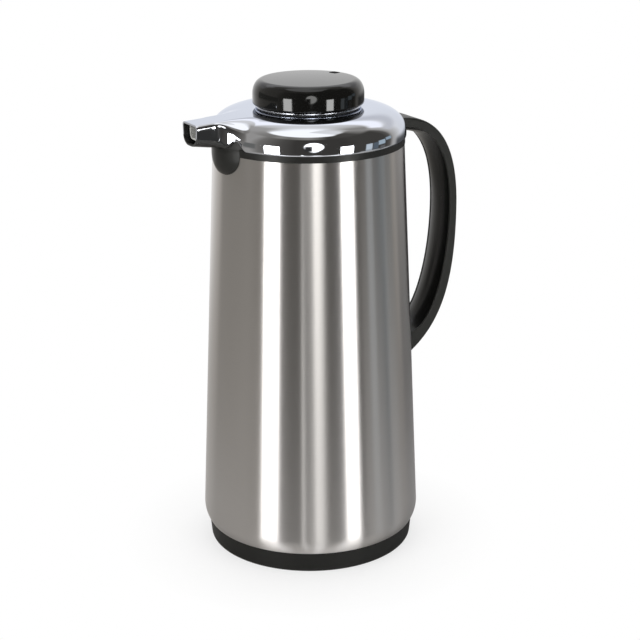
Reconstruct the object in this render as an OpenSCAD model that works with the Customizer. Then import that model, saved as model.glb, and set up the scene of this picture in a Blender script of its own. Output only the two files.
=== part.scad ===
// Glass-lined vacuum jug with a twist-to-pour stopper.
// Frame: origin at the centre of the base's underside, +Z up, handle towards +X, spout towards -X.

/* [Body] */
// Largest diameter of the steel jacket, just above the base
body_d = 145; // [136:1:154]
// Diameter of the jacket at its top edge
top_d = 123.2; // [118:0.2:128]
// Height of the steel jacket
shell_h = 258; // [230:1:280]
// Thickness of the steel sheet
sheet = 0.6; // [0.4:0.1:1]
// Height over which the jacket's lower edge turns in
hem_h = 9.9; // [7:0.1:13]
// How far the jacket's lower edge turns in
hem_in = 2.9; // [2:0.1:4]

/* [Base] */
// Height of the visible screw-on base
base_h = 14.1; // [11:0.1:18]
// How far the base's side leans in from its top edge to its foot
base_lean = 1.4; // [0.8:0.1:2.4]
// Rounding of the foot's outer edge
foot_round = 2.6; // [1.5:0.1:4]
// Thickness of the base's floor
floor_t = 2.6; // [2:0.1:4]
// Height of the threaded collar inside the jacket
thread_h = 15; // [10:0.5:20]
// Wall of the threaded collar and of the ring that it screws into
thread_wall = 2.4; // [1.8:0.1:3.2]
// Depth of the two finger pockets in the underside
pocket_d = 1.2; // [0.6:0.1:1.8]

/* [Flask] */
// Thickness of the glass
glass = 1.6; // [1.2:0.1:2.2]
// Width of the evacuated gap between the two glass walls
vacuum_gap = 3.6; // [2.6:0.1:4.6]
// Inner radius of the flask's mouth
mouth_r = 19.5; // [17:0.5:21]
// Clearance from the flask's widest part to the jacket
flask_clear = 5; // [3.5:0.5:8]
// Height of the flask's rounded bottom
flask_bottom_h = 28; // [22:1:34]
// Height of the flask's shoulder, from its straight wall to its neck
flask_shoulder_h = 44; // [36:1:52]
// Height of the flask's straight neck
flask_neck_h = 10; // [8:0.5:14]
// Length of the sealed pip under the flask
pip_h = 7; // [5:0.5:9]

/* [Collar and shoulder] */
// Height of the black collar between the jacket and the shoulder
collar_h = 5.1; // [3.5:0.1:7]
// Height of the chromed shoulder, from its rim to its deck
shoulder_h = 16.7; // [15.5:0.1:19]
// Wall of the chromed shoulder
shoulder_wall = 2.2; // [1.8:0.1:2.8]
// Radius at which the shoulder's flat deck starts to round down
deck_r = 38; // [37:0.5:42]
// Radius of the round tongue under the spout
chin_r = 19.6; // [17.5:0.1:21]
// Height of the tongue below the collar's lower edge
chin_h = 14.9; // [11:0.1:18]

/* [Spout] */
// Reach of the spout beyond the jacket's top edge
spout_reach = 22.3; // [18:0.1:27]
// Outer width of the spout
spout_w = 18; // [16:0.1:20]
// Outer height of the spout
spout_h = 11.6; // [10.8:0.1:12.4]
// Wall of the spout at its mouth
spout_wall = 1.5; // [1.2:0.1:1.8]
// Radius of the spout's lower corners
spout_round = 5.5; // [4:0.1:6.5]
// Radius of the fillets where the spout's sides meet the shoulder
root_fillet = 10; // [7:0.5:13]

/* [Handle] */
// Reach of the handle beyond the jacket's top edge
handle_reach = 46.4; // [40:0.1:54]
// Width of the handle across its loop
handle_w = 25; // [21:0.5:29]
// Thickness of the handle's band at the middle of the grip
band_t = 6; // [5:0.1:8]
// Height of the handle, from the top of its arm to the tip of its foot
handle_h = 162.8; // [145:0.1:175]
// Thickness of the grip's inner pad
pad_t = 2; // [1.5:0.1:2.6]
// Thickness of the strip that backs the handle, where it is thinnest
strip_t = 3.2; // [2.6:0.1:4.4]
// Shank radius of the handle's screws
screw_r = 2; // [1.6:0.1:2.4]

/* [Stopper] */
// Diameter of the knob
knob_d = 71.4; // [70:0.2:74]
// Height of the knob
knob_h = 16.2; // [14.5:0.1:19]
// Height of the bright ring and gap between the shoulder's deck and the knob
neck_gap = 3.5; // [3:0.1:4.5]
// Wall of the knob
knob_wall = 2.2; // [1.8:0.1:2.6]
// Inner radius of the neck insert that the stopper drops into
sleeve_r = 24.3; // [23.8:0.1:25]
// Gap between the stopper's housing and the neck insert
stopper_gap = 0.5; // [0.35:0.05:0.8]
// Lift of the valve from shut to fully open
valve_lift = 4; // [3:0.1:4.5]
// Radius of the valve's stem
stem_r = 3; // [2.4:0.1:3.4]
// Radial clearance of the stem in its guide and of the knob's hub in its bearing
running_gap = 0.05; // [0.03:0.01:0.08]

/* [Hidden] */
$fn = 96;
// Sides of the small cylinders of the screws and their holes
screw_fn = 48;

// Gap between fixed pieces whose curved faces lie together
seat_gap = 0.2;
// Gap between pieces that move past or rest on each other
rest_gap = 0.3;
// Overlap that lets one solid run cleanly into the next one of the same piece
sink = 0.5;
// Spare length of a cutting shape
spare = 1;
// Smallest radius left on a rounded corner that is drawn in
sharp_r = 0.1;

body_r = body_d / 2;
top_r = top_d / 2;

// Levels from the table upwards
z_hem = base_h + hem_h;
z_collar = base_h + shell_h;
z_rim = z_collar + collar_h;
z_deck = z_rim + shoulder_h;
z_knob = z_deck + neck_gap;
z_top = z_knob + knob_h;

// The jacket's lower edge is an arc that is upright where it meets the tapered wall
hem_r = (hem_h * hem_h + hem_in * hem_in) / (2 * hem_in);
hem_a = asin(hem_h / hem_r);

// Radius of the jacket's outer face at a height on its tapered wall
function jacket_r(z) = body_r - (body_r - top_r) * (z - z_hem) / (z_collar - z_hem);

// Points on an arc about (x, z) from angle a0 to a1
function arc(x, z, r, a0, a1, n = 8) =
    [for (i = [0 : n]) let (a = a0 + (a1 - a0) * i / n) [x + r * cos(a), z + r * sin(a)]];

// Points on a quarter of a rounded box corner, from its side up to its top; a power of 2 gives an ellipse
function corner(x, z, w, h, power, n = 12) =
    [for (i = [0 : n]) let (a = 90 * i / n)
        [x + w * pow(cos(a), 2 / power), z + h * pow(sin(a), 2 / power)]];

// Points on a cubic curve with the four control points p
function curve(p, n = 20) =
    [for (i = [0 : n]) let (t = i / n, s = 1 - t)
        s * s * s * p[0] + 3 * s * s * t * p[1] + 3 * s * t * t * p[2] + t * t * t * p[3]];

function reversed(p) = [for (i = [len(p) - 1 : -1 : 0]) p[i]];

module turned(points) { rotate_extrude() polygon(points); }

module ring(r_in, r_out, z0, z1) {
    turned([[r_in, z0], [r_out, z0], [r_out, z1], [r_in, z1]]);
}

// Jacket

// Outline of the jacket's outer face, drawn in by a distance d
function jacket_outline(d) = concat(
    arc(body_r - hem_r, z_hem, hem_r - d, -hem_a, 0),
    [[top_r - d, z_collar]]);

module jacket_solid(d) {
    turned(concat([[0, base_h]], jacket_outline(d), [[0, z_collar]]));
}

module steel_jacket() {
    color("silver")
    difference() {
        turned(concat(jacket_outline(0), reversed(jacket_outline(sheet))));
        screw_hole(z_foot_screw, screw_r + seat_gap);
    }
}

// Base

// Step in from the jacket's lower edge to the base's side, and from there to the threaded collar
base_inset = 0.3;
thread_step = 4;
base_r = body_r - hem_in - base_inset;
foot_r = base_r - base_lean;
thread_r = base_r - thread_step;
thread_top = base_h + thread_h;
// Cup that holds the flask's cushion, and the ribs round it
cup_r = 34;
cup_wall = 2.2;
cup_h = 12;
rib_t = 2;
rib_h = 6;
rib_count = 6;
// Finger pockets: radius, and distance from the middle of the base
pocket_r = 15;
pocket_out = 48;

module base_cap() {
    color([0.13, 0.13, 0.12])
    difference() {
        union() {
            turned(concat(
                [[0, 0]],
                arc(foot_r - foot_round, foot_round, foot_round, -90, 0),
                [[base_r, base_h], [base_r - thread_wall, base_h], [foot_r - thread_wall, floor_t],
                    [0, floor_t]]));
            ring(thread_r - thread_wall, thread_r, base_h - thread_wall, thread_top);
            ring(thread_r - sink, base_r - thread_wall + sink, base_h - thread_wall, base_h);
            ring(cup_r, cup_r + cup_wall, floor_t - sink, floor_t + cup_h);
            for (i = [0 : rib_count - 1])
                rotate([0, 0, i * 360 / rib_count])
                translate([cup_r + sink, -rib_t / 2, floor_t - sink])
                cube([foot_r - thread_wall - cup_r, rib_t, rib_h + sink]);
        }
        for (side = [-1, 1])
            translate([0, side * pocket_out, -spare])
            cylinder(r = pocket_r, h = pocket_d + spare);
    }
}

module base_thread_ring() {
    inner = thread_r + seat_gap;
    color([0.2, 0.2, 0.2])
    turned(concat(
        [[inner, base_h]],
        arc(body_r - hem_r, z_hem, hem_r - sheet - seat_gap, -hem_a, 0),
        [[jacket_r(thread_top) - sheet - seat_gap, thread_top], [inner, thread_top]]));
}

// Flask

// Depth of the flask's mouth below the shoulder's deck
mouth_drop = 28;
// Room between the base's floor and the tip of the pip
pip_room = 7;
pip_tip_r = 1.2;
pip_root_r = 4;
z_mouth = z_deck - mouth_drop;
z_flask = floor_t + pip_h + pip_room;
z_flask_shoulder = z_mouth - flask_neck_h - flask_shoulder_h;
flask_r = jacket_r(z_flask_shoulder) - sheet - flask_clear;
lip_h = 3;
neck_space = 2.4;
inner_step = glass + vacuum_gap;
neck_outer_r = mouth_r + 2 * glass + neck_space;

// Height of the flask's rounded bottom at radius x, for a bottom of radius r that starts at z
function bottom_z(x, r, z) = z + flask_bottom_h * (1 - sqrt(max(0, 1 - x * x / (r * r))));

// Outline of a glass wall from the axis up to its neck
function flask_outline(r, z, r_neck, z_end, n = 12) = concat(
    [for (i = [0 : n]) let (a = 90 * i / n)
        [r * sin(a), z + flask_bottom_h * (1 - cos(a))]],
    [for (i = [0 : n]) let (t = i / n)
        [r_neck + (r - r_neck) * (1 + cos(180 * t)) / 2, z_flask_shoulder + flask_shoulder_h * t]],
    [[r_neck, z_end]]);

module glass_outer_wall() {
    outside = flask_outline(flask_r, z_flask, neck_outer_r, z_mouth - lip_h);
    inside = flask_outline(flask_r - glass, z_flask + glass, neck_outer_r - glass, z_mouth - lip_h);
    color([0.7, 0.75, 0.78, 0.6])
    union() {
        turned(concat(outside, reversed(inside)));
        translate([0, 0, z_flask - pip_h])
        cylinder(r1 = pip_tip_r, r2 = pip_root_r, h = pip_h + glass / 2);
    }
}

module glass_inner_wall() {
    r = flask_r - inner_step;
    z = z_flask + inner_step;
    outside = flask_outline(r, z, mouth_r + glass, z_mouth - lip_h);
    inside = flask_outline(r - glass, z + glass, mouth_r, z_mouth);
    color([0.85, 0.87, 0.9, 0.6])
    turned(concat(outside, [[neck_outer_r, z_mouth - lip_h], [neck_outer_r, z_mouth]], reversed(inside)));
}

cushion_bore = 10;
cushion_r = cup_r - seat_gap;

module flask_cushion() {
    steps = 8;
    color("dimgray")
    turned(concat(
        [[cushion_bore, floor_t], [cushion_r, floor_t]],
        [for (i = [steps : -1 : 0]) let (x = cushion_bore + (cushion_r - cushion_bore) * i / steps)
            [x, bottom_z(x, flask_r, z_flask) - seat_gap]]));
}

gasket_t = 2;
// How far the flask's gasket stays back from the mouth
gasket_back = 1;

module flask_gasket() {
    color("gainsboro")
    ring(mouth_r + gasket_back, neck_outer_r, z_mouth, z_mouth + gasket_t);
}

// Neck insert and pour channel

insert_floor_t = 2.5;
insert_wall = 2;
insert_lip = 4.5;
insert_seat_r = 15;
ledge_t = 2.6;
z_insert = z_mouth + gasket_t;
z_seat = z_insert + insert_floor_t;
insert_r = sleeve_r + insert_wall;
insert_flange_r = insert_r + insert_lip;
// Height of the deck above the spout's top
spout_drop = 2.2;
// Radius of the spout's upper corners
spout_edge = 2;
spout_tip = top_r + spout_reach;
spout_top = z_deck - spout_drop;
spout_bottom = spout_top - spout_h;
duct_wall = 1.3;
duct_in = spout_wall + seat_gap;
// How far the insert's channel ends inside the spout's mouth
duct_back = 7;
duct_end = spout_tip - duct_back;

// Section of the spout in the YZ plane, drawn in by a distance d
function spout_section(d) = concat(
    arc(spout_w / 2 - spout_round, spout_bottom + spout_round, spout_round - d, -90, 0),
    arc(spout_w / 2 - spout_edge, spout_top - spout_edge, max(spout_edge - d, sharp_r), 0, 90, 4),
    arc(spout_edge - spout_w / 2, spout_top - spout_edge, max(spout_edge - d, sharp_r), 90, 180, 4),
    arc(spout_round - spout_w / 2, spout_bottom + spout_round, spout_round - d, 180, 270));

// A bar with the spout's section from x0 out to x1, both measured towards -X
module spout_bar(d, x0, x1) {
    translate([-x1, 0, 0])
    rotate([90, 0, 90])
    linear_extrude(x1 - x0)
    polygon(spout_section(d));
}

module neck_insert() {
    sleeve_mid = sleeve_r + insert_wall / 2;
    color([0.82, 0.82, 0.8])
    difference() {
        union() {
            ring(insert_seat_r, insert_r, z_insert, z_seat);
            ring(sleeve_r, insert_r, z_insert, z_deck - ledge_t);
            ring(sleeve_r, insert_flange_r, z_deck - ledge_t, z_deck - seat_gap);
            difference() {
                spout_bar(duct_in, sleeve_mid, duct_end);
                translate([0, 0, z_insert - spare])
                cylinder(r = sleeve_mid, h = z_deck);
            }
        }
        spout_bar(duct_in + duct_wall, sleeve_r - spare, duct_end + spare);
    }
}

// Collar with its tongue

// How far the collar stands out beyond the jacket's top edge
collar_proud = 0.3;
collar_r = top_r + collar_proud;
collar_skirt = 8;
collar_wall = 2.4;
skirt_r = top_r - sheet - seat_gap;
// Distance of the tongue's upright axis inside the jacket's top edge
chin_back = 13.9;
chin_x = top_r - chin_back;
// Share of the tongue's radius at its flat lower tip
chin_tip = 0.55;
// Straight edge of the tongue below its upper end, and how far its top leans in
chin_edge = 1;
chin_lean = 1.6;
chin_step = 9;

// Outline of the tongue about its own upright axis: a straight top and an egg-shaped lower end
chin_outline = concat(
    [[0, z_collar - chin_h]],
    [for (a = [0 : chin_step : 90])
        [chin_r * (chin_tip + (1 - chin_tip) * sin(a)),
            z_collar - chin_h + (chin_h - chin_edge) * (1 - cos(a))]],
    [[chin_r, z_collar - chin_edge], [chin_r, z_rim - chin_edge],
        [chin_r - chin_lean, spout_bottom + rest_gap], [0, spout_bottom + rest_gap]]);

module collar_ring() {
    color([0.13, 0.13, 0.12])
    difference() {
        union() {
            ring(skirt_r - collar_wall, collar_r, z_collar, z_rim);
            ring(skirt_r - collar_wall, skirt_r, z_collar - collar_skirt, z_collar + sink);
            difference() {
                translate([-chin_x, 0, 0])
                turned(chin_outline);
                jacket_solid(-seat_gap);
                translate([0, 0, z_collar - sink])
                cylinder(r = top_r, h = collar_h + 2 * sink);
                shoulder_solid(seat_gap);
                spout_bar(-seat_gap, 0, spout_tip);
                spout_root(seat_gap);
            }
        }
        shoulder_skirt(seat_gap);
    }
}

// Shoulder with its spout

skirt_h = 3.6;
// Boss behind the shoulder's wall for the handle's upper screw
boss_r = 5;
boss_depth = 6.1;
arm_seat = top_r - boss_depth;
// The dome's edge lies a little inside the jacket's top edge, and starts to round above its rim
shoulder_step = 0.1;
rim_h = 1.3;
dome_power = 2.4;
shoulder_r = top_r - shoulder_step;
z_round = z_rim + rim_h;
// How far the dome's inner face starts to round inside its outer face
dome_step = 1;
// Seat for the insert's flange, under the deck
ledge_wall = 3;
ledge_r = insert_flange_r + ledge_wall;

// Outline of the shoulder from its rim to its deck, grown by a distance d
function dome_outline(d) = concat(
    [[collar_r + d, z_rim - d]],
    corner(deck_r, z_round, shoulder_r - deck_r + d, z_deck - z_round + d, dome_power),
    [[0, z_deck + d]]);

module shoulder_solid(d) {
    turned(concat([[0, z_rim - d]], dome_outline(d)));
}

module shoulder_skirt(d) {
    r = skirt_r - collar_wall;
    ring(r - collar_wall, r + collar_wall / 2 + d, z_rim - skirt_h - d, z_rim + sink);
}

// Plan of the fillets on both sides of the spout's root, and how far they stop short of its edges
root_x = sqrt(pow(shoulder_r + root_fillet, 2) - pow(spout_w / 2 + root_fillet, 2));
root_a = atan2(spout_w / 2 + root_fillet, root_x);
root_above = 3;
root_below = 1;

module spout_root(d) {
    z0 = z_rim + root_above;
    for (side = [-1, 1])
        mirror([0, side < 0 ? 1 : 0, 0])
        translate([0, 0, z0 - d])
        linear_extrude(spout_top - root_below - z0 + 2 * d)
        polygon(concat(
            [[-deck_r, 0], [-root_x, 0]],
            arc(-root_x, spout_w / 2 + root_fillet, root_fillet - d, -90, -root_a),
            [[-deck_r, spout_w / 2]]));
}

module shoulder() {
    inner_r = deck_r - dome_step;
    color("lightgray")
    difference() {
        union() {
            difference() {
                union() {
                    shoulder_solid(0);
                    spout_root(0);
                }
                turned(concat(
                    [[0, z_rim - spare], [skirt_r + seat_gap - collar_wall, z_rim - spare]],
                    corner(inner_r, z_round, shoulder_r - inner_r - shoulder_wall,
                        z_deck - z_round - shoulder_wall, dome_power),
                    [[0, z_deck - shoulder_wall]]));
            }
            shoulder_skirt(0);
            spout_bar(0, deck_r, spout_tip);
            intersection() {
                shoulder_solid(0);
                translate([arm_seat, 0, z_arm_screw])
                rotate([0, 90, 0])
                cylinder(r = boss_r, h = shoulder_r);
            }
            ring(insert_r + seat_gap, ledge_r, z_deck - 2 * ledge_t, z_deck - ledge_t);
            ring(insert_flange_r + seat_gap, ledge_r, z_deck - 2 * ledge_t, z_deck - sink);
        }
        spout_bar(spout_wall, insert_r - insert_wall, spout_tip + spare);
        translate([0, 0, z_deck - ledge_t])
        cylinder(r = insert_flange_r + seat_gap, h = ledge_t + spare);
        screw_hole(z_arm_screw, screw_r + seat_gap);
    }
}

// Handle

// Height of the arm's top above the shoulder's rim, and of the arm's end against the shoulder
arm_rise = 5.9;
arm_t = 6.4;
// Depth of the grip's outermost point below the arm's top
grip_drop = 65;
// Height of the foot where it lies on the backing strip
foot_t = 14.2;
handle_top = z_rim + arm_rise;
handle_x = top_r + handle_reach;
handle_mid = handle_top - grip_drop;
handle_foot = handle_top - handle_h;
foot_top = handle_foot + foot_t;
strip_top = handle_top - arm_t;
// Heights of the two screws from the arm's top and from the foot's tip
arm_screw_drop = 3.2;
foot_screw_rise = 8;
z_arm_screw = handle_top - arm_screw_drop;
z_foot_screw = handle_foot + foot_screw_rise;
// Width of the band's two lips beside the grip's pad
band_lip = 1.2;
// How far the arm and the strip are drawn into the body before it is cut away from them
arm_sink = 3;
strip_sink = 6;
// Growth of the strip's thickness for each millimetre downwards
strip_flare = 0.0095;
// Pulls of the outer edge's curves: along the arm, up and down from the grip, and out and up from the foot
arm_pull = 34.8;
grip_pull_up = 36.6;
grip_pull_down = 50.3;
foot_pull = 25.8;
foot_pull_up = 17.7;
// Pulls of the inner edge's curves: along the arm, up and down from the grip, and out from the foot
inner_arm_pull = 29.6;
inner_pull_up = 34.3;
inner_pull_down = 44.2;
inner_foot_pull = 16.1;

// Distance of the strip's flat outer face from the axis, at height z
function strip_x(z) = jacket_r(z) + strip_t + (z_collar - z) * strip_flare;

// Edges of the handle seen from the side: the band's outer edge, and its inner edge drawn out by d
outer_edge = concat(
    curve([[top_r - arm_sink, handle_top], [top_r + arm_pull, handle_top],
        [handle_x, handle_mid + grip_pull_up], [handle_x, handle_mid]]),
    curve([[handle_x, handle_mid], [handle_x, handle_mid - grip_pull_down],
        [strip_x(handle_foot) + foot_pull, handle_foot + foot_pull_up],
        [strip_x(handle_foot), handle_foot]]));

function inner_edge(d) = let (grip = [handle_x - band_t + d, handle_mid], foot_z = foot_top - d) concat(
    curve([[top_r - arm_sink, strip_top + d], [top_r + inner_arm_pull, strip_top + d],
        grip + [0, inner_pull_up], grip]),
    curve([grip, grip - [0, inner_pull_down],
        [strip_x(foot_z) + inner_foot_pull + d / 2, foot_z], [strip_x(foot_z), foot_z]]));

// A slab of width w with the side view given by its points in the XZ plane
module side_slab(points, w) {
    translate([0, w / 2, 0])
    rotate([90, 0, 0])
    linear_extrude(w)
    polygon(points);
}

// The screws' holes start inside the body; those in the handle end at x_end
hole_back = 12;
hole_reach = 60;

module screw_hole(z, r) {
    translate([top_r - hole_back, 0, z])
    rotate([0, 90, 0])
    cylinder(r = r, h = hole_reach, $fn = screw_fn);
}

module blind_hole(z, x_end) {
    translate([top_r - hole_back, 0, z])
    rotate([0, 90, 0])
    cylinder(r = screw_r, h = x_end - top_r + hole_back, $fn = screw_fn);
}

module handle_envelope() {
    shoulder_solid(seat_gap);
    translate([0, 0, z_collar])
    cylinder(r = collar_r + seat_gap, h = collar_h);
}

module handle_loop() {
    side_slab(concat(outer_edge, reversed(inner_edge(0))), handle_w);
}

// Depth of each screw's hole past the strip's outer face, and the room left at its end
arm_hole = 4.5;
foot_hole = 5;
hole_room = 1;
x_arm_hole = strip_x(z_rim) + arm_hole;
x_foot_hole = strip_x(z_foot_screw) + foot_hole;

module handle_band() {
    color([0.2, 0.2, 0.19])
    difference() {
        handle_loop();
        grip_pad();
        handle_envelope();
        blind_hole(z_arm_screw, x_arm_hole);
        blind_hole(z_foot_screw, x_foot_hole);
    }
}

// Distance from the strip at which the grip's pad starts
pad_start = 6;

// The layer along the inside of the loop, set in between the band's two lips
module grip_pad() {
    intersection() {
        side_slab(concat(inner_edge(0), reversed(inner_edge(pad_t))), handle_w - 2 * band_lip);
        translate([strip_x(z_rim) + pad_start, -handle_w / 2, handle_foot])
        cube([handle_reach, handle_w, handle_h]);
    }
}

module handle_grip_pad() {
    color([0.07, 0.07, 0.06])
    grip_pad();
}

module strip_slab() {
    x_back = top_r - strip_sink;
    side_slab([[x_back, handle_foot], [strip_x(handle_foot), handle_foot], [strip_x(strip_top), strip_top],
        [x_back, strip_top]], handle_w);
}

module handle_back_strip() {
    color([0.16, 0.16, 0.15])
    difference() {
        strip_slab();
        handle_loop();
        jacket_solid(-seat_gap);
        handle_envelope();
        screw_hole(z_foot_screw, screw_r + seat_gap);
    }
}

head_r = 3.8;
head_h = 2.4;
// Width of the crossed slots in the screws' heads
slot_w = 1;

// A pan-head screw whose head's inner face is at x0 and whose tip is at x1
module screw(z, x0, x1) {
    translate([x0, 0, z])
    rotate([0, 90, 0]) {
        cylinder(r = screw_r - seat_gap / 2, h = x1 - x0, $fn = screw_fn);
        translate([0, 0, -head_h])
        difference() {
            cylinder(r = head_r, h = head_h, $fn = screw_fn);
            for (turn = [0, 90])
                rotate([0, 0, turn])
                translate([-head_r / 2, -slot_w / 2, -spare])
                cube([head_r, slot_w, spare + head_h / 2]);
        }
    }
}

// Square plate behind the jacket, its corners clear of the jacket's curve
plate_t = 2;
plate_half = 9;
plate_back = sqrt(pow(jacket_r(z_foot_screw + plate_half) - sheet, 2) - pow(plate_half, 2));
plate_x = plate_back - plate_t - seat_gap;

module handle_screws() {
    color("gray") {
        screw(z_arm_screw, arm_seat, x_arm_hole - hole_room);
        screw(z_foot_screw, plate_x, x_foot_hole - hole_room);
    }
}

module handle_anchor_plate() {
    color("silver")
    difference() {
        translate([plate_x, -plate_half, z_foot_screw - plate_half])
        cube([plate_t, 2 * plate_half, 2 * plate_half]);
        screw_hole(z_foot_screw, screw_r + seat_gap);
    }
}

// Stopper: the part that is screwed into the neck

plug_r = sleeve_r - stopper_gap;
plug_wall = 2;
z_plug = z_seat + rest_gap + gasket_t;
port_r = 12;
port_t = 2.5;
z_port = z_plug + port_t;
// The housing's flange ends inside the knob's edge
flange_step = 3.7;
flange_r = knob_d / 2 - flange_step;
flange_t = 2.4;
z_flange = z_deck + seat_gap;
guide_t = 2;
guide_drop = 6;
z_guide = z_flange - guide_drop;
hub_r = 8;
window_w = 12;
window_count = 6;
// Solid edge above and below the pour windows
window_edge = 1.5;
window_h = z_guide - z_port - 2 * window_edge;

module stopper_housing() {
    color([0.16, 0.16, 0.16])
    difference() {
        union() {
            ring(port_r, plug_r, z_plug, z_port);
            ring(plug_r - plug_wall, plug_r, z_plug, z_flange + flange_t);
            ring(stem_r + running_gap, plug_r - sink, z_guide, z_guide + guide_t);
            ring(hub_r + running_gap, flange_r, z_flange, z_flange + flange_t);
        }
        for (i = [0 : window_count - 1])
            rotate([0, 0, i * 360 / window_count])
            translate([0, -window_w / 2, z_port + window_edge])
            cube([plug_r + spare, window_w, window_h]);
    }
}

// How far the stopper's gasket stays back from the seat's hole and from the plug's side
gasket_inner_back = 1.5;
gasket_outer_back = 0.5;

module stopper_gasket() {
    color("gainsboro")
    ring(insert_seat_r + gasket_inner_back, plug_r - gasket_outer_back, z_seat + rest_gap, z_plug);
}

// The bright ring's side lies inside the knob's edge, leans in upwards and turns over the flange
trim_step = 1.8;
trim_lean = 0.4;
trim_lip = 3;

module stopper_trim_ring() {
    r_in = flange_r + seat_gap / 2;
    r_out = knob_d / 2 - trim_step;
    z_lip = z_flange + flange_t;
    color("lightgray")
    turned([[r_in, z_flange], [r_out, z_flange], [r_out, z_lip], [r_out - trim_lean, z_knob - rest_gap],
        [flange_r - trim_lip, z_knob - rest_gap], [flange_r - trim_lip, z_lip], [r_in, z_lip]]);
}

// Room between the knob's hub and the foam
foam_room = 3.2;

module stopper_insulation() {
    color("ivory")
    ring(hub_r + foam_room, plug_r - plug_wall - seat_gap, z_guide + guide_t, z_flange);
}

// Stopper: the valve that rises when the knob turns

// How far the disc laps over the port, and half the width of its soft ring
valve_lap = 4;
seal_half = 3;
seal_t = 1.2;
valve_t = 2.4;
// Straight edge of the disc, and the width of its slope
valve_edge = 1;
valve_slope = 3;
valve_r = port_r + valve_lap;
z_valve = z_port + rest_gap + seal_t;
// Height of the stem's top inside the knob
stem_rise = 6;
stem_top = z_knob + stem_rise;

module valve_stem() {
    color("gainsboro")
    translate([0, 0, z_valve + valve_t])
    cylinder(r = stem_r, h = stem_top - z_valve - valve_t);
}

module valve_disc() {
    color("whitesmoke")
    turned([[0, z_valve], [valve_r, z_valve], [valve_r, z_valve + valve_edge],
        [valve_r - valve_slope, z_valve + valve_t], [0, z_valve + valve_t]]);
}

module valve_seal() {
    color("gainsboro")
    ring(port_r - seal_half, port_r + seal_half, z_port + rest_gap, z_valve);
}

// Stopper: the knob

knob_r = knob_d / 2;
// Rounded lower edge, rounded upper corner and slight crown of the knob
knob_edge = 2;
knob_edge_a = 60;
knob_round_w = 7;
knob_round_h = 10;
knob_crown = 0.5;
knob_power = 2.2;
z_knob_round = z_top - knob_crown - knob_round_h;
core_rise = 1;
core_t = 2.4;
core_z = z_knob + core_rise;
// Hub that turns in the housing, hollow for the stem and closed above it
hub_drop = 3.4;
hub_play = 0.4;
hub_top_t = 1.6;
hub_bottom = z_flange - hub_drop;
hub_bore = stem_r + hub_play;
stem_spare = 1;
stem_room = valve_lift + stem_spare;
// Spring clip in the hub's groove
clip_t = 1.2;
clip_play = 0.05;
clip_reach = 2;
clip_mouth = 4;
groove_d = 1;
groove_top = z_flange - rest_gap;

// Outline of the knob's outside, drawn in by a distance d
function knob_outline(d) = concat(
    arc(knob_r - knob_edge, z_knob + knob_edge, max(knob_edge - d, sharp_r), -knob_edge_a, 0, 5),
    corner(knob_r - knob_round_w, z_knob_round, knob_round_w - d, knob_round_h - d, knob_power),
    [[0, z_top - d]]);

module knob_solid(d) {
    turned(concat([[0, z_knob]], knob_outline(d)));
}

module knob_cap() {
    color([0.08, 0.08, 0.07])
    difference() {
        knob_solid(0);
        turned(concat(
            [[0, z_knob - spare], [knob_r - knob_wall, z_knob - spare]],
            corner(knob_r - knob_round_w, z_knob_round, knob_round_w - knob_wall,
                knob_round_h - knob_wall, knob_power),
            [[0, z_top - knob_wall]]));
        mark_slab(0);
    }
}

// Index mark: its size, how far it lies in from the knob's edge, its turn from +X and its depth
mark_l = 5;
mark_w = 5;
mark_in = 12.2;
mark_a = 20;
mark_depth = 0.5;
mark_play = 0.05;
mark_cut = 5;

// The slice of the knob's top, mark_depth thick, inside a small square drawn in by a distance d
module mark_slab(d) {
    difference() {
        intersection() {
            knob_solid(0);
            rotate([0, 0, mark_a])
            translate([knob_r - mark_in + d, -mark_w / 2 + d, z_top - mark_cut])
            cube([mark_l - 2 * d, mark_w - 2 * d, 2 * mark_cut]);
        }
        translate([0, 0, d - mark_depth])
        knob_solid(0);
    }
}

module knob_mark() {
    color([0.02, 0.02, 0.02])
    mark_slab(mark_play);
}

module knob_core() {
    color([0.16, 0.16, 0.16])
    union() {
        ring(hub_bore, knob_r - knob_wall - seat_gap, core_z, core_z + core_t);
        difference() {
            ring(hub_bore, hub_r, hub_bottom, stem_top + stem_room);
            ring(hub_r - groove_d, hub_r + spare, groove_top - clip_t, groove_top);
        }
        translate([0, 0, stem_top + stem_room])
        cylinder(r = hub_r, h = hub_top_t);
    }
}

module knob_clip() {
    color("silver")
    difference() {
        ring(hub_r - groove_d + running_gap, hub_r + clip_reach, groove_top - clip_t + clip_play,
            groove_top - clip_play);
        translate([0, -clip_mouth / 2, groove_top - clip_t - spare])
        cube([hub_r + clip_reach + spare, clip_mouth, clip_t + 2 * spare]);
    }
}

steel_jacket();
base_cap();
base_thread_ring();
flask_cushion();
glass_outer_wall();
glass_inner_wall();
flask_gasket();
collar_ring();
shoulder();
neck_insert();
handle_band();
handle_grip_pad();
handle_back_strip();
handle_screws();
handle_anchor_plate();
stopper_housing();
stopper_gasket();
stopper_trim_ring();
stopper_insulation();
valve_stem();
valve_disc();
valve_seal();
knob_cap();
knob_core();
knob_clip();
knob_mark();
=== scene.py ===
"""Looks of a glass-lined vacuum jug with a twist-to-pour stopper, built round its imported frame."""
import math
from contextlib import contextmanager

import bmesh
import bpy
import numpy as np
from bpy.props import FloatProperty, FloatVectorProperty, IntProperty, PointerProperty
from mathutils import Matrix, Vector


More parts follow.
